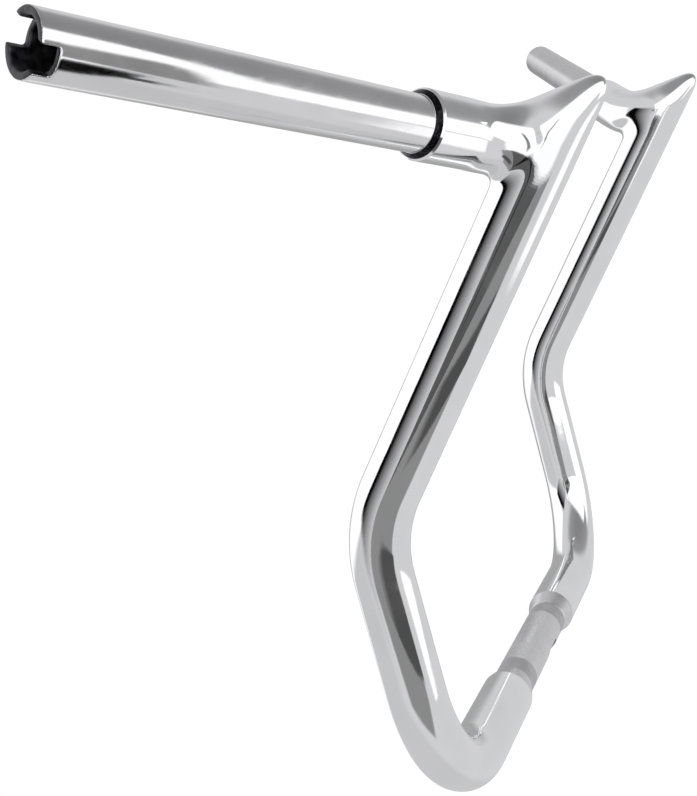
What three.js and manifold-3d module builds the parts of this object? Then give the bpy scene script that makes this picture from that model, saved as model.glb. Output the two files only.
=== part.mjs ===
// Motorcycle handlebar with mitred, pointed top corners: 1-1/4 in tube that steps down to 1 in
// at the centre clamp and at both grips, for a throttle sensor in the right-hand end.
// Millimetres. +X is the rider's right, +Y is forward, +Z is up. The origin is the middle of the
// centre clamp section, where the risers hold the bar.
import * as THREE from "three";
import { mergeVertices } from "three/addons/utils/BufferGeometryUtils.js";
import Module from "manifold-3d";

const wasm = await Module();
wasm.setup();

// Tube sections.
const INCH = 25.4;
const FAT_R = (1.25 * INCH) / 2;
const FAT_BORE_R = 13.0;
const SLIM_R = INCH / 2;
const SLIM_BORE_R = 9.5;
const GAP = 0.3; // left between pieces that touch

// Centreline of the right half, as the corners where its straight stretches would meet.
const LOWER_BEND = new THREE.Vector3(204, 0, 0);
const DOG_LEG = new THREE.Vector3(204, -98.5, 121);
const MITRE = new THREE.Vector3(204, -98.5, 342.2);
const ARM_BEND = new THREE.Vector3(204, -120.9, 327.2);
const GRIP_END = new THREE.Vector3(414.6, -238.1, 321.4);
const LOWER_BEND_R = 66.7;
const DOG_LEG_R = 76.2;
const ARM_BEND_R = 31.8;

// Centre clamp section.
const CLAMP_HALF = 54.5; // half of the bare 1 in length
const COLLAR_LENGTH = 14; // taper from 1 in up to the riser tube
const COLLAR_LIP = 0.6; // wall left at the thin end of a taper
const CLAMP_INSERT = 38; // how far the clamp tube slides into each riser tube
const KNURL_FROM = 14;
const KNURL_TO = 39;
const KNURL_TEETH = 40;
const KNURL_DEPTH = 0.35;
const WIRE_SLOT_X = -15;
const WIRE_SLOT_LENGTH = 25;
const WIRE_SLOT_WIDTH = 9;

// Grips.
const GRIP_LENGTH = 187.3; // from the shoulder to the bare end
const SHOULDER_LENGTH = 3.4;
const GRIP_INSERT = 20; // how far the grip tube slides into the arm tube
const NOTCH_WIDTH = 10.7;
const NOTCH_DEPTH = 7.2;
const NOTCH_ANGLE = THREE.MathUtils.degToRad(80.6); // about the grip, from straight up

// Polished weld in the inner corner of each mitre.
const WELD_R = 5;

const SIDES = 24; // flats round a tube
const BEND_STEP = THREE.MathUtils.degToRad(11.25);

const X = new THREE.Vector3(1, 0, 0);
const Z = new THREE.Vector3(0, 0, 1);
const gripAxis = GRIP_END.clone().sub(ARM_BEND).normalize();
const uprightAxis = MITRE.clone().sub(DOG_LEG).normalize();
const shoulder = GRIP_END.clone().addScaledVector(gripAxis, -GRIP_LENGTH);
const armEnd = shoulder.clone().addScaledVector(gripAxis, -SHOULDER_LENGTH);

// A centreline of straight stretches joined by tangent arcs. Its stations fall where the tube
// changes direction, not at even lengths, so a straight stretch costs one step.
class BentPath extends THREE.Curve {
  constructor(start, bends, end) {
    super();
    this.stations = [];
    const corners = [start, ...bends.map((bend) => bend.at), end];
    this.add(start, corners[1].clone().sub(start).normalize());
    bends.forEach((bend, i) => {
      const before = corners[i].clone().sub(bend.at).normalize();
      const after = corners[i + 2].clone().sub(bend.at).normalize();
      const opening = before.angleTo(after);
      const middle = before.clone().add(after).normalize();
      const centre = bend.at.clone().addScaledVector(middle, bend.radius / Math.sin(opening / 2));
      const first = bend.at.clone().addScaledVector(before, bend.radius / Math.tan(opening / 2));
      const turn = Math.PI - opening;
      const steps = Math.ceil(turn / BEND_STEP);
      const axis = after.clone().cross(before).normalize();
      for (let step = 0; step <= steps; step++) {
        const angle = (turn * step) / steps;
        const spoke = first.clone().sub(centre).applyAxisAngle(axis, angle);
        this.add(spoke.add(centre), before.clone().negate().applyAxisAngle(axis, angle));
      }
    });
    this.add(end, end.clone().sub(corners[corners.length - 2]).normalize());
  }
  add(point, tangent) {
    this.stations.push({ point, tangent });
  }
  get steps() {
    return this.stations.length - 1;
  }
  getPoint(t) {
    return this.stations[Math.round(t * this.steps)].point.clone();
  }
  getTangent(t) {
    return this.stations[Math.round(t * this.steps)].tangent.clone();
  }
  getUtoTmapping(u) {
    return u;
  }
}

function disc(radius) {
  const shape = new THREE.Shape();
  shape.absarc(0, 0, radius, 0, 2 * Math.PI);
  return shape;
}

function ring(radius, bore) {
  const shape = disc(radius);
  const hole = new THREE.Path();
  hole.absarc(0, 0, bore, 0, 2 * Math.PI, true);
  shape.holes.push(hole);
  return shape;
}

function sweep(shape, path) {
  return new THREE.ExtrudeGeometry(shape, {
    extrudePath: path,
    steps: path.steps,
    curveSegments: SIDES / 2,
    bevelEnabled: false,
  });
}

const bar = (shape, from, to) => sweep(shape, new BentPath(from, [], to));

// A turned piece about the line from one point along an axis: profile holds [radius, distance].
function turned(profile, from, axis) {
  const points = [...profile, profile[0]].map(([radius, along]) => new THREE.Vector2(radius, along));
  const geometry = new THREE.LatheGeometry(points, SIDES);
  geometry.applyQuaternion(new THREE.Quaternion().setFromUnitVectors(new THREE.Vector3(0, 1, 0), axis));
  return geometry.translate(from.x, from.y, from.z);
}

function toSolid(geometry) {
  const plain = geometry.index ? geometry.toNonIndexed() : geometry.clone();
  plain.deleteAttribute("normal");
  plain.deleteAttribute("uv");
  const merged = mergeVertices(plain, 1e-4);
  const mesh = new wasm.Mesh({
    numProp: 3,
    vertProperties: merged.attributes.position.array,
    triVerts: new Uint32Array(merged.index.array),
  });
  return new wasm.Manifold(mesh);
}

function toGeometry(solid) {
  const mesh = solid.getMesh();
  const geometry = new THREE.BufferGeometry();
  geometry.setAttribute("position", new THREE.BufferAttribute(mesh.vertProperties, 3));
  geometry.setIndex(new THREE.BufferAttribute(mesh.triVerts, 1));
  const faceted = geometry.toNonIndexed();
  faceted.computeVertexNormals();
  return faceted;
}

const cut = (geometry, ...tools) =>
  toGeometry(tools.reduce((solid, tool) => solid.subtract(toSolid(tool)), toSolid(geometry)));

// A large block that fills everything on the side of a plane that its normal points to.
function halfSpace(point, normal) {
  const size = 160;
  const block = new THREE.BoxGeometry(size, size, size);
  block.applyQuaternion(new THREE.Quaternion().setFromUnitVectors(Z, normal));
  const middle = point.clone().addScaledVector(normal, size / 2);
  return block.translate(middle.x, middle.y, middle.z);
}

// The mitre plane halves the corner between the upright and the arm.
const armStart = ARM_BEND.clone().sub(MITRE).normalize();
const mitreNormal = armStart.clone().add(uprightAxis).normalize();
const PAST_MITRE = 60; // stock beyond the plane before it is sawn off

function riserTube() {
  const start = new THREE.Vector3(CLAMP_HALF + COLLAR_LENGTH + GAP, 0, 0);
  const bends = [
    { at: LOWER_BEND, radius: LOWER_BEND_R },
    { at: DOG_LEG, radius: DOG_LEG_R },
  ];
  const top = MITRE.clone().addScaledVector(uprightAxis, PAST_MITRE);
  const tube = sweep(ring(FAT_R, FAT_BORE_R), new BentPath(start, bends, top));
  return cut(tube, halfSpace(MITRE.clone().addScaledVector(mitreNormal, -GAP / 2), mitreNormal));
}

function armPath() {
  const start = MITRE.clone().addScaledVector(armStart, -PAST_MITRE);
  return new BentPath(start, [{ at: ARM_BEND, radius: ARM_BEND_R }], armEnd);
}

function armTube() {
  const tube = sweep(ring(FAT_R, FAT_BORE_R), armPath());
  const away = mitreNormal.clone().negate();
  return cut(tube, halfSpace(MITRE.clone().addScaledVector(mitreNormal, GAP / 2), away));
}

// Weld metal along the inner half of the mitre joint, dressed back to the two tubes.
function mitreWeld() {
  const across = armStart.clone().cross(uprightAxis).normalize();
  const inward = armStart.clone().sub(uprightAxis).normalize();
  const half = Math.acos(THREE.MathUtils.clamp(armStart.dot(uprightAxis.clone().negate()), -1, 1)) / 2;
  const points = [];
  const count = 12;
  for (let i = 0; i <= count; i++) {
    const angle = (Math.PI * (i - count / 2)) / (count + 4);
    const along = (FAT_R * Math.cos(angle)) / Math.sin(half);
    points.push(
      MITRE.clone()
        .addScaledVector(across, FAT_R * Math.sin(angle))
        .addScaledVector(inward, along),
    );
  }
  const path = new THREE.CatmullRomCurve3(points);
  const bead = new THREE.ExtrudeGeometry(disc(WELD_R), {
    extrudePath: path,
    steps: count,
    curveSegments: 6,
    bevelEnabled: false,
  });
  const upright = bar(
    disc(FAT_R + GAP),
    DOG_LEG.clone().addScaledVector(uprightAxis, 60),
    MITRE.clone().addScaledVector(uprightAxis, PAST_MITRE),
  );
  return cut(bead, upright, sweep(disc(FAT_R + GAP), armPath()));
}

// Collar that tapers from the clamp section up to the riser tube.
function clampCollar() {
  const bore = SLIM_R + GAP;
  const profile = [
    [bore, 0],
    [bore + COLLAR_LIP, 0],
    [FAT_R, COLLAR_LENGTH],
    [bore, COLLAR_LENGTH],
  ];
  return turned(profile, new THREE.Vector3(CLAMP_HALF, 0, 0), X);
}

// Chamfered ring that closes the arm tube round the grip tube.
function gripCollar() {
  const bore = SLIM_R + GAP;
  const profile = [
    [bore, 0],
    [bore + COLLAR_LIP, 0],
    [FAT_R, SHOULDER_LENGTH - GAP],
    [bore, SHOULDER_LENGTH - GAP],
  ];
  return turned(profile, shoulder, gripAxis.clone().negate());
}

function clampTube() {
  const reach = CLAMP_HALF + COLLAR_LENGTH + CLAMP_INSERT;
  const tube = bar(ring(SLIM_R, SLIM_BORE_R), new THREE.Vector3(-reach, 0, 0), new THREE.Vector3(reach, 0, 0));
  let solid = toSolid(tube);
  for (const side of [-1, 1]) {
    const from = new THREE.Vector3(side < 0 ? -KNURL_TO : KNURL_FROM, 0, 0);
    const to = from.clone().addScaledVector(X, KNURL_TO - KNURL_FROM);
    solid = solid.subtract(toSolid(bar(knurlCutter(), from, to)));
  }
  const slot = new THREE.Shape();
  const straight = (WIRE_SLOT_LENGTH - WIRE_SLOT_WIDTH) / 2;
  slot.absarc(straight, 0, WIRE_SLOT_WIDTH / 2, -Math.PI / 2, Math.PI / 2);
  slot.absarc(-straight, 0, WIRE_SLOT_WIDTH / 2, Math.PI / 2, (3 * Math.PI) / 2);
  const cutter = new THREE.ExtrudeGeometry(slot, { depth: 2 * SLIM_R, curveSegments: 8, bevelEnabled: false });
  cutter.rotateX(-Math.PI / 2).translate(WIRE_SLOT_X, 0, 0);
  return toGeometry(solid.subtract(toSolid(cutter)));
}

// Everything outside a toothed outline, out to a little beyond the clamp tube.
function knurlCutter() {
  const shape = disc(SLIM_R + 1);
  const teeth = new THREE.Path();
  for (let i = 0; i < 2 * KNURL_TEETH; i++) {
    const angle = (-Math.PI * i) / KNURL_TEETH;
    const radius = i % 2 ? SLIM_R : SLIM_R - KNURL_DEPTH;
    const x = radius * Math.cos(angle);
    const y = radius * Math.sin(angle);
    if (i === 0) teeth.moveTo(x, y);
    else teeth.lineTo(x, y);
  }
  teeth.closePath();
  shape.holes.push(teeth);
  return shape;
}

function gripTube() {
  return bar(ring(SLIM_R, SLIM_BORE_R), armEnd.clone().addScaledVector(gripAxis, -GRIP_INSERT), GRIP_END);
}

// The throttle side has one slot milled straight across its end for the sensor's lugs.
function throttleGripTube() {
  const block = new THREE.BoxGeometry(NOTCH_WIDTH, 4 * SLIM_R, 2 * NOTCH_DEPTH);
  block.rotateZ(NOTCH_ANGLE);
  const up = Z.clone().addScaledVector(gripAxis, -Z.dot(gripAxis)).normalize();
  const side = up.clone().cross(gripAxis);
  const frame = new THREE.Matrix4().makeBasis(side, up, gripAxis).setPosition(GRIP_END);
  return cut(gripTube(), block.applyMatrix4(frame));
}

const chrome = { color: 0xe9ebee, roughness: 0.06, metalness: 1 };
const satin = { color: 0xb9bcc2, roughness: 0.35, metalness: 1 };

function piece(name, geometry, finish) {
  const mesh = new THREE.Mesh(geometry, new THREE.MeshStandardMaterial(finish));
  mesh.name = name;
  return mesh;
}

// One half of the bar. The left half is the right half mirrored, with its own grip tube.
function half(side, grip) {
  const group = new THREE.Group();
  group.add(
    piece(`clamp_collar_${side}`, clampCollar(), satin),
    piece(`riser_tube_${side}`, riserTube(), chrome),
    piece(`arm_tube_${side}`, armTube(), chrome),
    piece(`mitre_weld_${side}`, mitreWeld(), chrome),
    piece(`grip_collar_${side}`, gripCollar(), chrome),
    grip,
  );
  if (side === "left") group.scale.x = -1;
  return group;
}

const handlebar = new THREE.Group();
handlebar.add(
  piece("clamp_tube", clampTube(), satin),
  half("right", piece("throttle_grip_tube", throttleGripTube(), chrome)),
  half("left", piece("clutch_grip_tube", gripTube(), chrome)),
);

export default handlebar;
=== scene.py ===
"""Looks of the motorcycle handlebar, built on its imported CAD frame. Lengths are in metres.

Every tube is skinned from its centreline. The mitred corners, the slotted throttle end and the
wire slot are drawn round the zero level of a distance field, so their welds and edges are round.
"""
import math

import bmesh
import bpy
import numpy as np
from mathutils import Matrix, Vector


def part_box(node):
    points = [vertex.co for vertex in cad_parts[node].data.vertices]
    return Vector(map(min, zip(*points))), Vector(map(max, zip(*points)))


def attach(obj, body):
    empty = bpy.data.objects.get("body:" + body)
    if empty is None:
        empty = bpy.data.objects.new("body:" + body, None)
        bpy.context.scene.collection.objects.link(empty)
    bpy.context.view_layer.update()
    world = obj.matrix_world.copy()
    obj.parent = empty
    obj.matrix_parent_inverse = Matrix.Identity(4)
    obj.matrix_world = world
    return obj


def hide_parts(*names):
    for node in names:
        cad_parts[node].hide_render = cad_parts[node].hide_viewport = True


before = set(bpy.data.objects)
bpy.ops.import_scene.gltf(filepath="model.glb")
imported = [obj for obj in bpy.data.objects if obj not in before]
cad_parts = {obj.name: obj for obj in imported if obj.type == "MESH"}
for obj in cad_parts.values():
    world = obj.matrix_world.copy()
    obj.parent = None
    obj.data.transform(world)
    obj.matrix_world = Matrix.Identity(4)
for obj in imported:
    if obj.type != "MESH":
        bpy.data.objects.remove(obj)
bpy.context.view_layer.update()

MM = 0.001

# Tube sections, as in the CAD.
FAT_R = 15.875 * MM
SLIM_R = 12.7 * MM
SLIM_BORE_R = 9.5 * MM

# Centreline of the right half, as the corners where its straight stretches would meet.
LOWER_BEND = np.array((204.0, 0.0, 0.0)) * MM
DOG_LEG = np.array((204.0, -98.5, 121.0)) * MM
MITRE = np.array((204.0, -98.5, 342.2)) * MM
ARM_BEND = np.array((204.0, -120.9, 327.2)) * MM
GRIP_END = np.array((414.6, -238.1, 321.4)) * MM
LOWER_BEND_R = 66.7 * MM
DOG_LEG_R = 76.2 * MM
ARM_BEND_R = 31.8 * MM
GRIP_LENGTH = 187.3 * MM
SHOULDER_LENGTH = 3.4 * MM

X_AXIS = np.array((1.0, 0.0, 0.0))
UP = np.array((0.0, 0.0, 1.0))
MIRROR = np.array((-1.0, 1.0, 1.0))  # takes the right half to the left


def unit(vector):
    return vector / np.linalg.norm(vector)


def eased(share):
    """A share from 0 to 1 that starts and ends gently."""
    return share * share * (3 - 2 * share)


GRIP_AXIS = unit(GRIP_END - ARM_BEND)
SHOULDER = GRIP_END - GRIP_AXIS * GRIP_LENGTH
ARM_END = SHOULDER - GRIP_AXIS * SHOULDER_LENGTH


# ---------------------------------------------------------------- skins


class Skin:
    """Points with a normal each, and faces, gathered into one mesh."""

    def __init__(self):
        self.points = []
        self.normals = []
        self.faces = []
        self.count = 0

    def add(self, points, normals):
        """Adds points and returns their numbers."""
        self.points.append(points)
        self.normals.append(normals)
        numbers = np.arange(self.count, self.count + len(points))
        self.count += len(points)
        return numbers

    def band(self, first, second):
        """Quads between two closed rings of as many points."""
        quads = np.stack([first, np.roll(first, -1), np.roll(second, -1), second], axis=1)
        self.faces.extend(quads.tolist())

    def cap(self, ring, normal):
        """A flat face over a ring, with an edge of its own so that it stays flat."""
        points = np.concatenate(self.points)[ring]
        rim = self.add(points, np.tile(normal, (len(ring), 1)))
        self.faces.append(rim.tolist())

    def turn(self, origin, axis, profile, angles):
        """Rings about an axis, one for each (radius, distance along, slope of the normal)."""
        across = unit(np.cross(axis, UP if abs(axis[2]) < 0.9 else X_AXIS))
        spokes = np.outer(np.cos(angles), across) + np.outer(np.sin(angles), np.cross(axis, across))
        rings = []
        for radius, along, slope in profile:
            points = origin + axis * along + spokes * radius
            rings.append(self.add(points, spokes * math.cos(slope) + axis * math.sin(slope)))
        for first, second in zip(rings, rings[1:]):
            self.band(first, second)
        return rings

    def build(self, name, mirrored=False):
        """The finished object, or its mirror image on the left of the bar."""
        points = np.concatenate(self.points)
        normals = np.concatenate(self.normals)
        faces = self.faces
        if mirrored:
            points = points * MIRROR
            normals = normals * MIRROR
            faces = [face[::-1] for face in faces]
        mesh = bpy.data.meshes.new(name)
        mesh.from_pydata(points.tolist(), [], faces)
        mesh.polygons.foreach_set("use_smooth", [True] * len(mesh.polygons))
        mesh.normals_split_custom_set_from_vertices(normals.tolist())
        mesh.update()
        thing = bpy.data.objects.new(name, mesh)
        bpy.context.scene.collection.objects.link(thing)
        return thing


def circle_angles(count):
    return np.arange(count) * (2 * math.pi / count)


def rotation_between(first, second):
    """The smallest rotation that takes one direction to another."""
    axis = np.cross(first, second)
    sine = np.linalg.norm(axis)
    if sine < 1e-9:
        return np.eye(3)
    turn = Matrix.Rotation(math.atan2(sine, float(first @ second)), 3, axis / sine)
    return np.array(turn)


BEND_STEP = math.radians(2.5)


def bend(before, corner, after, radius):
    """Stations (point, tangent) along the arc that rounds a corner between two directions."""
    turn = math.acos(float(before @ after))
    inward = unit(after - before)
    centre = corner + inward * (radius / math.cos(turn / 2))
    first = corner - before * (radius * math.tan(turn / 2))
    axis = unit(np.cross(before, after))
    stations = []
    steps = math.ceil(turn / BEND_STEP)
    for step in range(steps + 1):
        rotation = np.array(Matrix.Rotation(turn * step / steps, 3, axis))
        stations.append((centre + rotation @ (first - centre), rotation @ before))
    return stations


def sweep(skin, ring, spokes, stations, radius, hollow=False):
    """Sweeps a ring on along stations and closes the end. A hollow tube faces its own axis."""
    tangent = stations[0][1]
    for point, direction in stations[1:]:
        spokes = spokes @ rotation_between(tangent, direction).T
        tangent = direction
        following = skin.add(point + spokes * radius, -spokes if hollow else spokes)
        if hollow:
            skin.band(following, ring)
        else:
            skin.band(ring, following)
        ring = following
    if hollow:
        skin.cap(ring[::-1], -tangent)
    else:
        skin.cap(ring, tangent)


# ---------------------------------------------------------------- distance fields


def grid_points(low, high, step):
    """A grid's shape and points, from its low corner."""
    counts = np.ceil((high - low) / step).astype(int) + 1
    axes = [low[i] + step * np.arange(counts[i]) for i in range(3)]
    return tuple(counts), np.stack(np.meshgrid(*axes, indexing="ij"), axis=-1).reshape(-1, 3)


def blurred(values, sigma):
    """A field blurred by a Gaussian whose width is given in grid steps."""
    reach = math.ceil(3 * sigma)
    weights = np.exp(-0.5 * (np.arange(-reach, reach + 1) / sigma) ** 2)
    weights /= weights.sum()
    for axis in range(3):
        padding = [(reach, reach) if i == axis else (0, 0) for i in range(3)]
        wide = np.pad(values, padding, mode="edge")
        size = values.shape[axis]
        slices = [np.take(wide, range(i, i + size), axis=axis) for i in range(len(weights))]
        values = sum(weight * part for weight, part in zip(weights, slices))
    return values


def sampled(values, places):
    """Values between grid points, for places given in grid steps."""
    base = np.clip(np.floor(places).astype(int), 0, np.array(values.shape[:3]) - 2)
    share = places - base
    total = 0
    for corner in np.ndindex(2, 2, 2):
        weight = np.prod(np.where(corner, share, 1 - share), axis=1)
        found = values[base[:, 0] + corner[0], base[:, 1] + corner[1], base[:, 2] + corner[2]]
        total = total + (weight if found.ndim == 1 else weight[:, None]) * found
    return total


def net_faces(inside, number):
    """Quads between the numbered cells round every grid edge that crosses the surface."""
    quads = []
    for axis in range(3):
        others = [i for i in range(3) if i != axis]
        here = [slice(None)] * 3
        there = [slice(None)] * 3
        here[axis] = slice(0, -1)
        there[axis] = slice(1, None)
        for i in others:
            here[i] = there[i] = slice(1, -1)
        start, stop = inside[tuple(here)], inside[tuple(there)]
        cells = np.argwhere(start != stop)
        outward = start[tuple(cells.T)]
        if axis == 1:
            outward = ~outward
        corners = []
        for offset in ((0, 0), (1, 0), (1, 1), (0, 1)):
            place = cells.copy()
            place[:, others[0]] += offset[0]
            place[:, others[1]] += offset[1]
            corners.append(number[tuple(place.T)])
        ring = np.stack(corners, axis=1)
        ring[~outward] = ring[~outward][:, ::-1]
        quads.append(ring)
    return np.concatenate(quads)


def surface_net(values, low, step, rounds=6):
    """Points, normals and quads round the zero level of a field on a grid."""
    inside = values < 0
    shape = tuple(size - 1 for size in values.shape)
    count = sum(
        inside[i : i + shape[0], j : j + shape[1], k : k + shape[2]].astype(int)
        for i, j, k in np.ndindex(2, 2, 2)
    )
    active = (count > 0) & (count < 8)
    number = np.full(shape, -1)
    number[active] = np.arange(active.sum())
    faces = net_faces(inside, number)
    slope = np.stack(np.gradient(values), axis=-1)
    places = np.argwhere(active) + 0.5
    edges = np.concatenate([faces[:, [i, (i + 1) % 4]] for i in range(4)])
    for _ in range(rounds):
        places = pulled(values, slope, places)
        total = np.zeros_like(places)
        share = np.zeros(len(places))
        np.add.at(total, edges[:, 0], places[edges[:, 1]])
        np.add.at(share, edges[:, 0], 1)
        near = share > 2
        places[near] = 0.5 * places[near] + 0.5 * total[near] / share[near, None]
    places = pulled(values, slope, places)
    normals = sampled(slope, places)
    normals /= np.linalg.norm(normals, axis=1, keepdims=True)
    return low + places * step, normals, faces


def pulled(values, slope, places):
    """Places moved on to the zero level."""
    for _ in range(3):
        gradient = sampled(slope, places)
        length = (gradient**2).sum(axis=1)
        places = places - gradient * (sampled(values, places) / length)[:, None]
    return places


def trimmed(points, normals, faces, cuts):
    """A net cut by planes (point, outward normal), with its points, normals and the cuts' rims."""
    work = bmesh.new()
    for point in points:
        work.verts.new(point)
    work.verts.ensure_lookup_table()
    layers = [work.verts.layers.float.new(f"n{i}") for i in range(3)]
    for vert, normal in zip(work.verts, normals):
        for layer, value in zip(layers, normal):
            vert[layer] = value
    for face in faces.tolist():
        work.faces.new([work.verts[i] for i in face])
    for place, outward in cuts:
        everything = list(work.verts) + list(work.edges) + list(work.faces)
        bmesh.ops.bisect_plane(
            work, geom=everything, plane_co=place, plane_no=outward, dist=1e-7, clear_outer=True
        )
    work.verts.index_update()
    points = np.array([vert.co for vert in work.verts])
    normals = np.array([[vert[layer] for layer in layers] for vert in work.verts])
    faces = [[vert.index for vert in face.verts] for face in work.faces]
    rims = []
    for place, outward in cuts:
        open_verts = {v.index for e in work.edges if e.is_boundary for v in e.verts}
        rims.append(
            np.array([i for i in sorted(open_verts) if abs((points[i] - place) @ outward) < 1e-6])
        )
    work.free()
    return points, normals, faces, rims


# ---------------------------------------------------------------- mitred half


CORNER_STEP = 0.8 * MM  # between the field's grid points
CORNER_TOP = MITRE + UP * 1 * MM  # where the finished corner's centrelines cross
ELBOW = np.array((204.0, -114.0, 327.7)) * MM  # the arm drops steeply, then levels out
ELBOW_END = ARM_BEND + GRIP_AXIS * 20 * MM  # past here the arm runs straight to the grip
ARM_PATH = (CORNER_TOP, ELBOW, ELBOW_END, GRIP_END)
TIP_ROUNDING = 13 * MM
WELD_ROUNDING = 6 * MM
ROUNDING_GROWS = 22 * MM  # how far from the tubes' crossing the roundings reach full size
CORNER_INWARD = unit(unit(ELBOW - CORNER_TOP) - UP)  # square to the mitre's plane

# The field gives way to plain swept tube at these two planes.
RISER_CUT = MITRE - UP * 62 * MM
ARM_CUT = ELBOW_END + GRIP_AXIS * 10 * MM
CORNER_MARGIN = 6 * MM  # of the grid round the tubes
CORNER_HEADROOM = 38 * MM  # of the grid over the mitre, for its tip

# The whole corner is ground a little softer within this ball.
SOFT_BLUR = 1.8 * MM
SOFT_MIDDLE = CORNER_TOP + CORNER_INWARD * 4 * MM
SOFT_RADIUS = 52 * MM
SOFT_FADE = 14 * MM


def distance_to_line(points, start, axis):
    """Distance to an endless straight line."""
    offset = points - start
    return np.linalg.norm(offset - np.outer(offset @ axis, axis), axis=1)


def distance_to_arc(points, before, corner, after, radius):
    """Distance to the whole circle whose arc rounds a corner between two directions."""
    inward = unit(after - before)
    turn = math.acos(float(before @ after))
    centre = corner + inward * (radius / math.cos(turn / 2))
    axis = unit(np.cross(before, after))
    offset = points - centre
    height = offset @ axis
    flat = np.linalg.norm(offset - np.outer(height, axis), axis=1)
    return np.hypot(flat - radius, height)


def distance_to_arm(points):
    """Distance to the arm's centreline, which runs on far past the mitre and the grip."""
    start = ARM_PATH[0] - unit(ARM_PATH[1] - ARM_PATH[0])
    nearest = np.full(len(points), np.inf)
    for previous, corner, following in zip(ARM_PATH, ARM_PATH[1:], ARM_PATH[2:]):
        before = unit(corner - previous)
        after = unit(following - corner)
        reach = ARM_BEND_R * math.tan(math.acos(float(before @ after)) / 2)
        past_start = (points - start) @ before >= 0
        past_first = (points - corner) @ before >= -reach
        past_last = (points - corner) @ after >= reach
        line = distance_to_line(points, corner, before)
        arc = distance_to_arc(points, before, corner, after, ARM_BEND_R)
        beside_line = past_start & ~past_first
        beside_arc = past_first & ~past_last
        nearest[beside_line] = np.minimum(nearest, line)[beside_line]
        nearest[beside_arc] = np.minimum(nearest, arc)[beside_arc]
        start = corner + after * reach
    past_start = (points - start) @ after >= 0
    line = distance_to_line(points, corner, after)
    return np.where(past_start, np.minimum(nearest, line), nearest)


def corner_field(points):
    """Signed distance to the upright and the arm: a rounded mitre outside, a weld inside."""
    riser = distance_to_line(points, MITRE, UP) - FAT_R
    arm = distance_to_arm(points) - FAT_R
    inward = (points - CORNER_TOP) @ CORNER_INWARD
    share = eased(np.clip(abs(inward) / ROUNDING_GROWS, 0, 1))
    tip = share * TIP_ROUNDING + 1e-9
    mitred = np.minimum(np.maximum(riser, arm), -tip)
    mitred += np.hypot(np.maximum(riser + tip, 0), np.maximum(arm + tip, 0))
    weld = share * WELD_ROUNDING + 1e-9
    joined_tubes = np.maximum(np.minimum(riser, arm), weld)
    joined_tubes -= np.hypot(np.maximum(weld - riser, 0), np.maximum(weld - arm, 0))
    return np.where(inward < 0, mitred, joined_tubes)


def corner_net():
    """The rounded corner, from the upright to just past the arm's bends."""
    reach = FAT_R + CORNER_MARGIN
    ends = np.array([MITRE, ARM_CUT, RISER_CUT])
    low = ends.min(axis=0) - reach
    high = ends.max(axis=0) + reach
    high[2] = MITRE[2] + CORNER_HEADROOM
    low[2] = RISER_CUT[2] - 2 * CORNER_STEP
    shape, points = grid_points(low, high, CORNER_STEP)
    values = corner_field(points).reshape(shape) / CORNER_STEP
    sigma = SOFT_BLUR / CORNER_STEP
    shrink = sigma**2 * CORNER_STEP / (2 * FAT_R)
    soft = blurred(values, sigma) - shrink
    away = np.linalg.norm(points - SOFT_MIDDLE, axis=1).reshape(shape)
    share = eased(np.clip((SOFT_RADIUS - away) / SOFT_FADE, 0, 1))
    return surface_net(values + (soft - values) * share, low, CORNER_STEP)


def rim_spokes(points, rim, centre, axis):
    """A rim's numbers in order round an axis, and the unit spokes to them."""
    offset = points[rim] - centre
    offset -= np.outer(offset @ axis, axis)
    spokes = offset / np.linalg.norm(offset, axis=1, keepdims=True)
    side = unit(np.cross(axis, X_AXIS if abs(axis[0]) < 0.9 else UP))
    order = np.argsort(np.arctan2(spokes @ np.cross(axis, side), spokes @ side))
    return rim[order], spokes[order]


def joined(skin, net, cuts, radii):
    """Adds a net trimmed by cuts, and returns the (ring, spokes) of each rim, rounded true."""
    points, normals, faces, rims = trimmed(*net, [cut[:2] for cut in cuts])
    loops = []
    for rim, (place, outward) in zip(rims, cuts):
        away = np.linalg.norm(np.cross(points[rim] - place, outward), axis=1)
        for i, radius in enumerate(radii):
            nearest = np.argmin([abs(away - other) for other in radii], axis=0)
            ring, spokes = rim_spokes(points, rim[nearest == i], place, outward)
            points[ring] = place + spokes * radius
            normals[ring] = -spokes if i else spokes
            loops.append((ring, spokes))
    skin.add(points, normals)
    skin.faces.extend(faces)
    return loops


def riser_and_arm():
    """Upright, arm and weld as one polished skin, closed inside its two collars."""
    skin = Skin()
    cuts = [(RISER_CUT, -UP), (ARM_CUT, GRIP_AXIS)]
    riser_rim, arm_rim = joined(skin, corner_net(), cuts, [FAT_R])
    down = unit(DOG_LEG - LOWER_BEND)
    legs = [(RISER_CUT, -UP)]
    legs += bend(-UP, DOG_LEG, -down, DOG_LEG_R)
    legs += bend(-down, LOWER_BEND, -X_AXIS, LOWER_BEND_R)
    legs.append((X_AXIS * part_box("riser_tube_right")[0].x, -X_AXIS))
    sweep(skin, *riser_rim, legs, FAT_R)
    sweep(skin, *arm_rim, [(ARM_CUT, GRIP_AXIS), (ARM_END, GRIP_AXIS)], FAT_R)
    return skin


# ---------------------------------------------------------------- turned pieces


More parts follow.
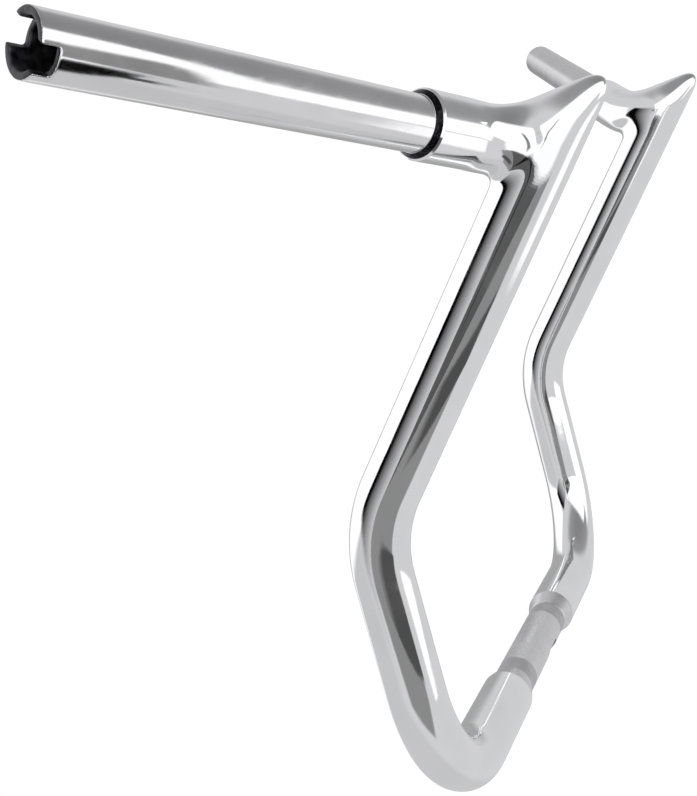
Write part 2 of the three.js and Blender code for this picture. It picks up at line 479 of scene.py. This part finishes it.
def rounded_profile(corners, steps=5):
    """(radius, along, slope) for a profile of corners (radius, along, rounding)."""
    profile = []
    for i in range(1, len(corners) - 1):
        here = np.array(corners[i][:2])
        before = unit(here - np.array(corners[i - 1][:2]))
        after = unit(np.array(corners[i + 1][:2]) - here)
        rounding = corners[i][2]
        if rounding == 0:
            profile.append((*here, unit(before + after)))
            continue
        turn = math.acos(float(np.clip(before @ after, -1, 1)))
        cut = rounding * math.tan(turn / 2)
        for step in range(steps + 1):
            share = step / steps
            place = here - before * cut * (1 - share) ** 2 + after * cut * share**2
            heading = unit(before * (1 - share) + after * share)
            profile.append((*place, heading))
    first, last = np.array(corners[0][:2]), np.array(corners[-1][:2])
    start = unit(np.array(corners[1][:2]) - first)
    stop = unit(last - np.array(corners[-2][:2]))
    profile = [(*first, start), *profile, (*last, stop)]
    return [(r, along, math.atan2(-heading[0], heading[1])) for r, along, heading in profile]


SIDES = 160
TUCK = 0.5 * MM  # how far a collar reaches in under the slim tube's skin
LAP = 0.4 * MM  # how far it runs on under the fat tube's end
LIP = 0.9 * MM  # bright rim of the grip's shoulder


def turned(corners, origin, axis):
    """A closed ring turned about an axis."""
    skin = Skin()
    skin.turn(origin, axis, rounded_profile(corners), circle_angles(SIDES))
    return skin


def grip_shoulder():
    """Chamfer from the fat arm down to the slim grip, closed inside the tubes."""
    corners = [
        (FAT_R - 2 * LAP, -LAP, 0),
        (FAT_R, -LAP, 0.1 * MM),
        (FAT_R, 0.1 * MM, 0.3 * MM),
        (FAT_R - LIP, LIP, 0.25 * MM),
        (SLIM_R + 0.15 * MM, SHOULDER_LENGTH, 0.2 * MM),
        (SLIM_R - TUCK, SHOULDER_LENGTH + 0.3 * MM, 0),
        (SLIM_R - TUCK, -LAP, 0),
        (FAT_R - 2 * LAP, -LAP, 0),
    ]
    return turned(corners, ARM_END, GRIP_AXIS)


def clamp_taper():
    """Taper from the clamp section up to the fat tube, closed inside the tubes."""
    low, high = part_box("clamp_collar_right")
    length = high.x - low.x
    corners = [
        (SLIM_R - TUCK, -LAP, 0),
        (SLIM_R + 0.15 * MM, 0, 0.5 * MM),
        (FAT_R, length - LAP, 0.5 * MM),
        (FAT_R, length + LAP, 0.1 * MM),
        (SLIM_R - TUCK, length + LAP, 0),
        (SLIM_R - TUCK, -LAP, 0),
    ]
    return turned(corners, np.array((low.x, 0.0, 0.0)), X_AXIS)


INSIDE_ARM = 8 * MM  # how far a grip runs on into the arm
BORE_DEPTH = 60 * MM


def plain_grip():
    """Slim tube from inside the arm to its open end, blind inside."""
    corners = [
        (SLIM_R, -GRIP_LENGTH - INSIDE_ARM, 0),
        (SLIM_R, 0, 0.5 * MM),
        (SLIM_BORE_R, 0, 0.7 * MM),
        (SLIM_BORE_R, -BORE_DEPTH, 0),
    ]
    skin = Skin()
    rings = skin.turn(GRIP_END, GRIP_AXIS, rounded_profile(corners), circle_angles(SIDES))
    skin.cap(rings[0][::-1], -GRIP_AXIS)
    skin.cap(rings[-1], GRIP_AXIS)
    return skin


NOTCH_WIDTH = 10.7 * MM
NOTCH_DEPTH = 7.2 * MM
NOTCH_ANGLE = math.radians(80.6)  # about the grip, from level
NOTCH_CORNER = 1.0 * MM
END_STEP = 0.4 * MM
END_BLUR = 0.4 * MM  # rounds the edges
END_LENGTH = 13 * MM


def tube_wall(away):
    """Signed distance to the wall of the slim tube, from distances to its axis."""
    return np.maximum(away - SLIM_R, SLIM_BORE_R - away)


def rounded_net(field, low, high, step, blur):
    """A net of a field whose edges are rounded by blurring it."""
    shape, points = grid_points(low, high, step)
    values = field(points).reshape(shape) / step
    return surface_net(blurred(values, blur / step), low, step, rounds=3)


def notched_field(points):
    """Signed distance to the throttle end, with a slot milled straight across it."""
    offset = points - GRIP_END
    along = offset @ GRIP_AXIS
    away = np.linalg.norm(offset - np.outer(along, GRIP_AXIS), axis=1)
    top = unit(UP - GRIP_AXIS * GRIP_AXIS[2])
    side = np.cross(top, GRIP_AXIS)
    across = side * math.cos(NOTCH_ANGLE) + top * math.sin(NOTCH_ANGLE)
    inward = abs(offset @ across) - NOTCH_WIDTH / 2 + NOTCH_CORNER
    floor = -NOTCH_DEPTH - along + NOTCH_CORNER
    outside = np.hypot(np.maximum(inward, 0), np.maximum(floor, 0))
    notch = outside + np.minimum(np.maximum(inward, floor), 0) - NOTCH_CORNER
    return np.maximum(np.maximum(tube_wall(away), along), -notch)


def notched_grip():
    """Slim tube whose open end is slotted for the throttle's lugs."""
    skin = Skin()
    root = GRIP_END - GRIP_AXIS * END_LENGTH
    reach = SLIM_R + 4 * END_STEP
    ends = np.array([GRIP_END, root])
    low = ends.min(axis=0) - reach
    high = ends.max(axis=0) + reach
    net = rounded_net(notched_field, low, high, END_STEP, END_BLUR)
    outer, inner = joined(skin, net, [(root, -GRIP_AXIS)], [SLIM_R, SLIM_BORE_R])
    far_end = GRIP_END - GRIP_AXIS * (GRIP_LENGTH + INSIDE_ARM)
    floor = GRIP_END - GRIP_AXIS * BORE_DEPTH
    sweep(skin, *outer, [(root, -GRIP_AXIS), (far_end, -GRIP_AXIS)], SLIM_R)
    sweep(skin, *inner, [(root, -GRIP_AXIS), (floor, -GRIP_AXIS)], SLIM_BORE_R, hollow=True)
    return skin


KNURL_FROM = 14 * MM
KNURL_TO = 39 * MM
KNURL_TEETH = 56
KNURL_DEPTH = 0.12 * MM
KNURL_RUN_OUT = 0.7 * MM
SKIN_DEPTH = 0.2 * MM  # points this far in aren't on the outside
SLOT_MIDDLE = -15 * MM
SLOT_LENGTH = 25 * MM
SLOT_WIDTH = 9 * MM
SLOT_REACH = 19 * MM  # how far the net runs each way from the slot's middle
SLOT_MARGIN = 2 * MM  # of the net's grid round the tube
UNDER_COLLAR = 6 * MM  # how far the tube runs on under each collar
PLUG = 2 * MM  # closes the bore there


def slot_distance(points):
    """Signed distance to the slot's outline, seen along its cut."""
    past = np.maximum(abs(points[:, 0] - SLOT_MIDDLE) - (SLOT_LENGTH - SLOT_WIDTH) / 2, 0)
    return np.hypot(past, points[:, 2]) - SLOT_WIDTH / 2


def slotted_field(points):
    """Signed distance to the clamp section, with the slot for the wires through its front."""
    wall = tube_wall(np.hypot(points[:, 1], points[:, 2]))
    slot = np.maximum(slot_distance(points), -points[:, 1])
    return np.maximum(wall, -slot)


def knurl(points, normals):
    """Presses straight teeth into the outside of the two clamping bands."""
    away = np.hypot(points[:, 1], points[:, 2])
    angle = np.arctan2(points[:, 2], points[:, 1])
    run = abs(points[:, 0])
    share = np.minimum(run - KNURL_FROM, KNURL_TO - run) / KNURL_RUN_OUT
    near_slot = np.where(points[:, 1] > 0, slot_distance(points) / (2 * KNURL_RUN_OUT) - 0.5, 1)
    share = np.clip(np.minimum(share, near_slot), 0, 1)
    share[(away < SLIM_R - SKIN_DEPTH) | (normals[:, 0] ** 2 > 0.5)] = 0
    turn = KNURL_TEETH * angle
    depth = share * KNURL_DEPTH * (0.5 + 0.5 * np.cos(turn))
    slope = -share * KNURL_DEPTH * KNURL_TEETH * 0.5 * np.sin(turn) / SLIM_R
    outward = np.stack([0 * away, np.cos(angle), np.sin(angle)], axis=1)
    round_about = np.stack([0 * away, -np.sin(angle), np.cos(angle)], axis=1)
    pressed = points - outward * depth[:, None]
    tilted = normals + round_about * slope[:, None]
    return pressed, tilted / np.linalg.norm(tilted, axis=1, keepdims=True)


def clamp_section():
    """The middle of the bar: slim tube with knurled bands and the wires' slot."""
    skin = Skin()
    middle = X_AXIS * SLOT_MIDDLE
    around = SLIM_R + SLOT_MARGIN
    reach = np.array((SLOT_REACH + SLOT_MARGIN / 2, around, around))
    net = rounded_net(slotted_field, middle - reach, middle + reach, END_STEP, END_BLUR)
    left = middle - X_AXIS * SLOT_REACH
    right = middle + X_AXIS * SLOT_REACH
    cuts = [(left, -X_AXIS), (right, X_AXIS)]
    outer_left, inner_left, outer_right, inner_right = joined(skin, net, cuts, [SLIM_R, SLIM_BORE_R])
    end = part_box("clamp_collar_right")[0].x + UNDER_COLLAR
    bands = [KNURL_FROM, KNURL_FROM + KNURL_RUN_OUT, KNURL_TO - KNURL_RUN_OUT, KNURL_TO, end]
    halves = ((-1, left, outer_left, inner_left), (1, right, outer_right, inner_right))
    for side, start, outer, inner in halves:
        heading = X_AXIS * side
        stops = [(X_AXIS * side * x, heading) for x in bands if x > abs(start[0])]
        sweep(skin, *outer, [(start, heading), *stops], SLIM_R)
        bore_end = X_AXIS * side * (end - PLUG)
        sweep(skin, *inner, [(start, heading), (bore_end, heading)], SLIM_BORE_R, hollow=True)
    points, normals = knurl(np.concatenate(skin.points), np.concatenate(skin.normals))
    skin.points, skin.normals = [points], [normals]
    return skin


# ---------------------------------------------------------------- materials


class Material:
    """A metal, with helpers that add nodes to it."""

    def __init__(self, name, colour, roughness):
        self.material = bpy.data.materials.new(name)
        self.material.use_nodes = True
        self.tree = self.material.node_tree
        self.shader = self.tree.nodes["Principled BSDF"]
        self.shader.inputs["Base Color"].default_value = (*colour, 1)
        self.shader.inputs["Metallic"].default_value = 1
        self.shader.inputs["Roughness"].default_value = roughness
        place = self.tree.nodes.new("ShaderNodeTexCoord")
        self.place = place.outputs["Object"]

    def link(self, source, target):
        self.tree.links.new(source, target)

    def noise(self, scale, detail=3.0, stretch=(1, 1, 1), turn=(0, 0, 0)):
        """Noise with so many waves a metre, stretched along the turned axes."""
        mapping = self.tree.nodes.new("ShaderNodeMapping")
        mapping.inputs["Scale"].default_value = stretch
        mapping.inputs["Rotation"].default_value = turn
        noise = self.tree.nodes.new("ShaderNodeTexNoise")
        noise.inputs["Scale"].default_value = scale
        noise.inputs["Detail"].default_value = detail
        self.link(self.place, mapping.inputs["Vector"])
        self.link(mapping.outputs["Vector"], noise.inputs["Vector"])
        return noise.outputs["Fac"]

    def ranged(self, value, low, high, out_low, out_high):
        """A value's range from low to high mapped to another, and held at its ends."""
        node = self.tree.nodes.new("ShaderNodeMapRange")
        node.inputs["From Min"].default_value = low
        node.inputs["From Max"].default_value = high
        node.inputs["To Min"].default_value = out_low
        node.inputs["To Max"].default_value = out_high
        self.link(value, node.inputs["Value"])
        return node.outputs["Result"]

    def combined(self, first, second, operation):
        node = self.tree.nodes.new("ShaderNodeMath")
        node.operation = operation
        self.link(first, node.inputs[0])
        self.link(second, node.inputs[1])
        return node.outputs["Value"]

    def colour_between(self, share, first, second):
        node = self.tree.nodes.new("ShaderNodeMix")
        node.data_type = "RGBA"
        node.inputs["A"].default_value = (*first, 1)
        node.inputs["B"].default_value = (*second, 1)
        self.link(share, node.inputs["Factor"])
        self.link(node.outputs["Result"], self.shader.inputs["Base Color"])

    def rough(self, value):
        self.link(value, self.shader.inputs["Roughness"])

    def bump(self, height, distance):
        """Bump of a height that runs from 0 to 1 over so many metres."""
        node = self.tree.nodes.new("ShaderNodeBump")
        node.inputs["Strength"].default_value = 1.0
        node.inputs["Distance"].default_value = distance
        self.link(height, node.inputs["Height"])
        self.link(node.outputs["Normal"], self.shader.inputs["Normal"])


def chrome_material():
    """Show chrome: mirror plate with faint haze, handling smudges and a slight waviness."""
    chrome = Material("show_chrome", (0.9, 0.9, 0.91), 0.06)
    haze = chrome.noise(45, detail=4)
    smudge = chrome.noise(14, detail=2)
    pits = chrome.noise(900, detail=1)
    shine = chrome.ranged(haze, 0.35, 0.75, 0.03, 0.10)
    dull = chrome.ranged(smudge, 0.60, 0.78, 0.0, 0.12)
    chrome.rough(chrome.combined(shine, dull, "ADD"))
    chrome.colour_between(chrome.ranged(haze, 0.3, 0.7, 0, 1), (0.88, 0.885, 0.90), (0.93, 0.93, 0.935))
    wave = chrome.noise(60, detail=2)
    fine = chrome.ranged(pits, 0, 1, 0, 0.05)
    chrome.bump(chrome.combined(wave, fine, "ADD"), 0.06 * MM)
    return chrome.material


def grip_chrome_material():
    """The plainer plate under the throttle grip: drawn tube with fine lengthwise lines."""
    plate = Material("grip_chrome", (0.86, 0.86, 0.87), 0.12)
    haze = plate.noise(60, detail=4)
    lines = plate.noise(350, detail=3, stretch=(0.04, 1, 1), turn=(0, 0, math.radians(29)))
    shine = plate.ranged(haze, 0.3, 0.75, 0.08, 0.16)
    plate.rough(plate.combined(shine, plate.ranged(lines, 0.5, 0.8, 0.0, 0.08), "ADD"))
    plate.colour_between(plate.ranged(haze, 0.3, 0.7, 0, 1), (0.84, 0.84, 0.85), (0.89, 0.89, 0.90))
    plate.bump(lines, 0.015 * MM)
    return plate.material


def satin_material():
    """Satin plate on the clamp section: turned finish with fine rings and duller patches."""
    satin = Material("satin_plate", (0.74, 0.74, 0.76), 0.3)
    rings = satin.noise(1500, detail=3, stretch=(1, 0.05, 0.05))
    patches = satin.noise(90, detail=4)
    grain = satin.ranged(rings, 0.3, 0.7, 0.20, 0.34)
    dull = satin.ranged(patches, 0.45, 0.7, 0.0, 0.12)
    satin.rough(satin.combined(grain, dull, "ADD"))
    satin.colour_between(satin.ranged(patches, 0.3, 0.7, 0, 1), (0.70, 0.70, 0.72), (0.76, 0.76, 0.78))
    satin.bump(rings, 0.008 * MM)
    return satin.material


def clutch_plate_material():
    """Duller plate under the clutch grip, brushed lengthwise."""
    plate = Material("clutch_plate", (0.58, 0.58, 0.60), 0.25)
    haze = plate.noise(50, detail=4)
    lines = plate.noise(500, detail=3, stretch=(0.04, 1, 1), turn=(0, 0, math.radians(-29)))
    shine = plate.ranged(haze, 0.3, 0.75, 0.20, 0.32)
    plate.rough(plate.combined(shine, plate.ranged(lines, 0.5, 0.8, 0.0, 0.08), "ADD"))
    plate.colour_between(plate.ranged(haze, 0.3, 0.7, 0, 1), (0.54, 0.54, 0.56), (0.62, 0.62, 0.64))
    plate.bump(lines, 0.02 * MM)
    return plate.material


def dark_reflection_paint_material():
    """Painted dark reflection: near-black colour on the chamfer between the arm and the grip stands in
    for the dark surroundings it mirrors, with random worn flecks.
    """
    black = Material("painted_dark_reflection", (0.02, 0.02, 0.022), 0.25)
    wear = black.noise(700, detail=4)
    black.rough(black.ranged(wear, 0.3, 0.7, 0.18, 0.34))
    worn = black.ranged(wear, 0.45, 0.75, 0, 1)
    black.colour_between(worn, (0.012, 0.012, 0.014), (0.05, 0.05, 0.055))
    black.bump(wear, 0.02 * MM)
    return black.material


def matte_band_material():
    """Blasted finish of the smooth bands beside the collars."""
    matte = Material("matte_band", (0.55, 0.55, 0.57), 0.5)
    grain = matte.noise(2200, detail=3)
    matte.rough(matte.ranged(grain, 0.3, 0.7, 0.42, 0.58))
    patches = matte.ranged(matte.noise(120), 0.3, 0.7, 0, 1)
    matte.colour_between(patches, (0.50, 0.50, 0.52), (0.58, 0.58, 0.60))
    matte.bump(grain, 0.01 * MM)
    return matte.material


def unplated_and_shade_material():
    """Unplated steel of the bores and the cut faces, with near-black colour painted as the shade inside
    the tube.
    """
    steel = Material("unplated_steel_and_painted_shade", (0.10, 0.10, 0.11), 0.45)
    scale = steel.noise(260, detail=5)
    steel.rough(steel.ranged(scale, 0.3, 0.7, 0.35, 0.6))
    steel.colour_between(steel.ranged(scale, 0.35, 0.7, 0, 1), (0.03, 0.03, 0.035), (0.14, 0.14, 0.15))
    steel.bump(scale, 0.05 * MM)
    return steel.material


# ---------------------------------------------------------------- assembly


CHROME = chrome_material()
GRIP_CHROME = grip_chrome_material()
SATIN = satin_material()
CLUTCH_PLATE = clutch_plate_material()
# Near-black paint for the shoulder chamfers: a painted dark reflection.
DARK_REFLECTION_PAINT = dark_reflection_paint_material()
MATTE_BAND = matte_band_material()
# Unplated steel whose near-black colour is painted shade inside the bores.
UNPLATED_AND_SHADE = unplated_and_shade_material()

LIP_END = LIP + 0.2 * MM  # just past the lip's rounded edge
PLATE_EDGE = 0.35 * MM  # how far in the plating runs round an edge
THIRD_MATERIAL = 2  # after a piece's own and the bare steel


def paint_dark_reflection_on_chamfer(piece, flip):
    """Paints a dark reflection, as near-black colour, on the sloping face of a grip shoulder, and
    leaves its outer rim chrome.
    """
    piece.data.materials.append(DARK_REFLECTION_PAINT)
    for face in piece.data.polygons:
        along = (np.array(face.center) * flip - ARM_END) @ GRIP_AXIS
        face.material_index = int(LIP_END < along < SHOULDER_LENGTH)


def matte_bands(piece):
    """Blasts the clamp section's outside between the knurled bands and the collars."""
    piece.data.materials.append(MATTE_BAND)
    for face in piece.data.polygons:
        if abs(face.center.x) > KNURL_TO and face.material_index == 0:
            face.material_index = THIRD_MATERIAL


def unplated_and_shaded_inside(piece, place, axis):
    """Leaves the bore and the cut faces of a slim tube unplated, painted dark as the shade inside it.
    """
    piece.data.materials.append(UNPLATED_AND_SHADE)
    for face in piece.data.polygons:
        away = np.linalg.norm(np.cross(np.array(face.center) - place, axis))
        face.material_index = int(away < SLIM_R - PLATE_EDGE)


def fit(skin, name, material, nodes, mirrored=False):
    """Builds a skin as a piece that stands for CAD nodes."""
    piece = skin.build(name, mirrored)
    piece.data.materials.append(material)
    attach(piece, "root")
    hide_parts(*nodes)
    return piece


half = riser_and_arm()
shoulder = grip_shoulder()
taper = clamp_taper()
as_modelled = np.ones(3)
for side, mirrored in (("right", False), ("left", True)):
    welded = [f"riser_tube_{side}", f"arm_tube_{side}", f"mitre_weld_{side}"]
    fit(half, f"riser_and_arm_{side}", CHROME, welded, mirrored)
    ring = fit(shoulder, f"grip_shoulder_{side}", CHROME, [f"grip_collar_{side}"], mirrored)
    # Painted dark reflection on the shoulder's sloping face.
    paint_dark_reflection_on_chamfer(ring, MIRROR if mirrored else as_modelled)
    fit(taper, f"clamp_taper_{side}", SATIN, [f"clamp_collar_{side}"], mirrored)
throttle = fit(notched_grip(), "throttle_grip", GRIP_CHROME, ["throttle_grip_tube"])
clutch = fit(plain_grip(), "clutch_grip", CLUTCH_PLATE, ["clutch_grip_tube"], mirrored=True)
clamp = fit(clamp_section(), "clamp_section", SATIN, ["clamp_tube"])
# The dark colour inside the bores and on the cut faces is painted shade.
unplated_and_shaded_inside(throttle, GRIP_END, GRIP_AXIS)
unplated_and_shaded_inside(clutch, GRIP_END * MIRROR, GRIP_AXIS * MIRROR)
unplated_and_shaded_inside(clamp, np.zeros(3), X_AXIS)
matte_bands(clamp)


# ---------------------------------------------------------------- studio


CAMERA_LENS = 58.2
CAMERA_PLACE = (0.79408, -0.00101, 0.41117)
CAMERA_AZIMUTH = 103.0
CAMERA_ELEVATION = 20.84
CAMERA_ROLL = 22.94


def add_camera():
    """The camera, turned about its own line of sight as well."""
    data = bpy.data.cameras.new("camera")
    data.sensor_width = 36
    data.lens = CAMERA_LENS
    camera = bpy.data.objects.new("camera", data)
    bpy.context.scene.collection.objects.link(camera)
    back = direction(CAMERA_AZIMUTH, CAMERA_ELEVATION)
    right, up = picture_axes(back, CAMERA_ROLL)
    turn = Matrix((right, up, back)).transposed()
    camera.matrix_world = Matrix.Translation(CAMERA_PLACE) @ turn.to_4x4()
    bpy.context.scene.camera = camera


def only_reflected(thing):
    """Leaves a stage object to show in the chrome and nowhere else."""
    thing.visible_camera = False
    thing.visible_diffuse = False
    thing.visible_shadow = False
    thing.visible_transmission = False
    thing.visible_volume_scatter = False


def stage_object(name, points, faces):
    """A plain mesh of the studio."""
    mesh = bpy.data.meshes.new(name)
    mesh.from_pydata(points, [], faces)
    thing = bpy.data.objects.new(name, mesh)
    bpy.context.scene.collection.objects.link(thing)
    return thing


def add_world():
    """Even white light from all round."""
    world = bpy.data.worlds.new("studio")
    world.use_nodes = True
    world.node_tree.nodes["Background"].inputs["Color"].default_value = (1, 1, 1, 1)
    world.node_tree.nodes["Background"].inputs["Strength"].default_value = 1.08
    bpy.context.scene.world = world


FLOOR_LEVEL = -0.9
FLOOR_REACH = 9.0


def add_floor():
    """Pale floor, far enough below the bar for its shadow to melt away."""
    signs = ((-1, -1), (1, -1), (1, 1), (-1, 1))
    corners = [(x * FLOOR_REACH, y * FLOOR_REACH, FLOOR_LEVEL) for x, y in signs]
    floor = stage_object("floor", corners, [(0, 1, 2, 3)])
    material = bpy.data.materials.new("pale_floor")
    material.use_nodes = True
    shader = material.node_tree.nodes["Principled BSDF"]
    shader.inputs["Base Color"].default_value = (0.94, 0.94, 0.94, 1)
    shader.inputs["Roughness"].default_value = 0.9
    floor.data.materials.append(material)
    floor.visible_glossy = False


DOME_RADIUS = 4.0

# Elevation in degrees and brightness.
DOME_LEVELS = ((-90, 0.60), (-40, 0.60), (-28, 0.68), (30, 0.66), (52, 0.31), (90, 0.25))


def add_dome():
    """What the chrome sees all round: pale floor, light walls and a grey ceiling."""
    bpy.ops.mesh.primitive_uv_sphere_add(segments=96, ring_count=48, radius=DOME_RADIUS)
    dome = bpy.context.object
    dome.name = "studio_dome"
    material = bpy.data.materials.new("studio_dome")
    material.use_nodes = True
    tree = material.node_tree
    tree.nodes.clear()
    place = tree.nodes.new("ShaderNodeTexCoord")
    height = tree.nodes.new("ShaderNodeSeparateXYZ")
    share = tree.nodes.new("ShaderNodeMapRange")
    share.inputs["From Min"].default_value = -DOME_RADIUS
    share.inputs["From Max"].default_value = DOME_RADIUS
    ramp = tree.nodes.new("ShaderNodeValToRGB")
    ramp.color_ramp.interpolation = "EASE"
    emission = tree.nodes.new("ShaderNodeEmission")
    output = tree.nodes.new("ShaderNodeOutputMaterial")
    tree.links.new(place.outputs["Object"], height.inputs[0])
    tree.links.new(height.outputs["Z"], share.inputs["Value"])
    tree.links.new(share.outputs["Result"], ramp.inputs[0])
    tree.links.new(ramp.outputs["Color"], emission.inputs["Color"])
    tree.links.new(emission.outputs[0], output.inputs["Surface"])
    stops = ramp.color_ramp.elements
    for _ in DOME_LEVELS[2:]:
        stops.new(0.5)
    for stop, (elevation, value) in zip(stops, DOME_LEVELS):
        stop.position = 0.5 + 0.5 * math.sin(math.radians(elevation))
        stop.color = (value, value, value * 1.01, 1)
    dome.data.materials.append(material)
    only_reflected(dome)


# Where the cards are measured from.
UPRIGHT_EYE = np.array((0.20, -0.10, 0.20))
UPRIGHT_FOOT = np.array((0.20, -0.10, 0.1075))
UPRIGHT_TOP = np.array((0.20, -0.10, 0.38))
LEG_EYE = np.array((0.20, -0.10, 0.125))
WEDGE_EYE = np.array((0.233, -0.156, 0.15))
ARM_EYE = np.array((0.245, -0.126, 0.327))
THROTTLE_EYE = np.array((0.40, -0.20, 0.37))
UNDER_THROTTLE_EYE = np.array((0.42, -0.20, 0.24))

# Outlines of the cards, as shares of their half sizes. The wedge is the upper left half of a
# card, cut level near its top, and the hem along its edge ends there too.
SQUARE = ((-1, -1, 0), (1, -1, 0), (1, 1, 0), (-1, 1, 0))
WEDGE = ((-1, -1, 0), (0.83, 0.83, 0), (-1, 0.83, 0))
HEM = ((-1, -1, 0), (0.84, -1, 0), (0.84, 1, 0), (-1, 1, 0))

# Staging, seen only in reflections. Each card: name, outline, eye, azimuth and elevation of its
# middle, distance from the eye, half width and half height, roll, how far it fades in from its
# left, right, bottom and top edges as a share of its half size, and brightness. Angles are in
# degrees, and the eye's height and place choose which stretch of tube shows the card.
CARDS = (
    ("key_softbox", SQUARE, UPRIGHT_EYE, 125, 39, 2.3, 60, 28, 31, (0.3, 0.25, 0.03, 0.3), 1.25),
    ("key_wing", SQUARE, UPRIGHT_EYE, 200, 26, 2.2, 24, 14, 0, (0.3, 0.2, 0.1, 0.3), 1.2),
    ("low_softbox", SQUARE, UPRIGHT_EYE, 343, -22, 2.1, 48, 30, 0, (0.2, 0.2, 0.2, 0.2), 1.2),
    ("rear_softbox", SQUARE, UPRIGHT_EYE, 300, -40, 2.1, 20, 12, 0, (0.2, 0.2, 0.2, 0.2), 1.1),
    ("grey_wall", SQUARE, UPRIGHT_FOOT, 121, 0, 0.3, 36.5, 29.2, 0, (0.02, 0.12, 0.15, 0.02), 0.27),
    ("white_wall", SQUARE, UPRIGHT_TOP, 121, 0, 0.31, 30, 18.5, 0, (0.3, 0.3, 0.02, 0.4), 1.1),
    ("rim_card", SQUARE, UPRIGHT_EYE, 283, -21, 1.6, 30, 30, 0, (0.6, 0.6, 0.5, 0.5), 0.40),
    ("arm_softbox", SQUARE, ARM_EYE, 200, -7, 0.3, 13, 16, 0, (0.5, 0.3, 0.4, 0.2), 1.15),
    ("dark_cloth", SQUARE, UPRIGHT_EYE, 56, -15, 1.4, 29, 25, 0, (0.06, 1.6, 0.2, 0.2), 0.0),
    ("leg_wedge", SQUARE, LEG_EYE, 132, 0, 0.28, 28, 8, 19, (0.6, 0.1, 0.1, 0.3), 0.08),
    ("dark_wedge", WEDGE, WEDGE_EYE, 121, 0, 0.29, 26.6, 27.5, 0, (0.02, 0.02, 0.02, 0.02), 0.10),
    ("wedge_hem", HEM, WEDGE_EYE, 121, 0, 0.285, 36, 0.5, 46, (0.1, 0.1, 0.5, 0.5), 0.0),
    ("black_tongue", SQUARE, UNDER_THROTTLE_EYE, 180, 0, 0.12, 22, 28, 0, (0.2, 0.1, 0.5, 0.2), 0.0),
    ("grey_tongue", SQUARE, THROTTLE_EYE, 180, 0, 0.12, 26, 25, 0, (0.2, 0.2, 0.1, 0.5), 0.26),
)


def direction(azimuth, elevation):
    """Unit vector, with azimuth from the rider's side round to the right."""
    a, e = math.radians(azimuth), math.radians(elevation)
    return np.array((math.sin(a) * math.cos(e), -math.cos(a) * math.cos(e), math.sin(e)))


def picture_axes(away, roll):
    """Rightward and upward directions of a card or a picture, seen along a line of sight."""
    level = unit(np.cross(UP, away))
    over = np.cross(away, level)
    turn = math.radians(roll)
    across = level * math.cos(turn) + over * math.sin(turn)
    return across, over * math.cos(turn) - level * math.sin(turn)


def add_card(
    name, outline, eye, azimuth, elevation, distance, half_width, half_height, roll, fades, value
):
    """A flat card that glows evenly and fades at its edges."""
    away = direction(azimuth, elevation)
    across, along = picture_axes(away, roll)
    wide = across * distance * math.tan(math.radians(half_width))
    tall = along * distance * math.tan(math.radians(half_height))
    thing = stage_object(name, outline, [tuple(range(len(outline)))])
    place = Matrix((wide, tall, away)).transposed().to_4x4()
    thing.matrix_world = Matrix.Translation(eye + away * distance) @ place
    thing.data.materials.append(card_material(name, value, fades))
    only_reflected(thing)


def card_material(name, value, fades):
    """A glow that fades to clear at the card's edges."""
    material = bpy.data.materials.new(name)
    material.use_nodes = True
    tree = material.node_tree
    tree.nodes.clear()
    place = tree.nodes.new("ShaderNodeTexCoord")
    split = tree.nodes.new("ShaderNodeSeparateXYZ")
    tree.links.new(place.outputs["Object"], split.inputs[0])
    solid = None
    for axis, edge, share in zip("XXYY", (-1, 1, -1, 1), fades):
        fade = tree.nodes.new("ShaderNodeMapRange")
        fade.inputs["From Min"].default_value = edge
        fade.inputs["From Max"].default_value = edge - edge * share
        tree.links.new(split.outputs[axis], fade.inputs["Value"])
        if solid is None:
            solid = fade.outputs["Result"]
            continue
        both = tree.nodes.new("ShaderNodeMath")
        both.operation = "MULTIPLY"
        tree.links.new(solid, both.inputs[0])
        tree.links.new(fade.outputs["Result"], both.inputs[1])
        solid = both.outputs[0]
    clear = tree.nodes.new("ShaderNodeBsdfTransparent")
    glow = tree.nodes.new("ShaderNodeEmission")
    glow.inputs["Color"].default_value = (value, value, value, 1)
    mix = tree.nodes.new("ShaderNodeMixShader")
    tree.links.new(solid, mix.inputs[0])
    tree.links.new(clear.outputs[0], mix.inputs[1])
    tree.links.new(glow.outputs[0], mix.inputs[2])
    output = tree.nodes.new("ShaderNodeOutputMaterial")
    tree.links.new(mix.outputs[0], output.inputs["Surface"])
    return material


add_camera()
add_world()
add_floor()
add_dome()
for card in CARDS:
    add_card(*card)
bpy.context.scene.view_settings.view_transform = "Standard"
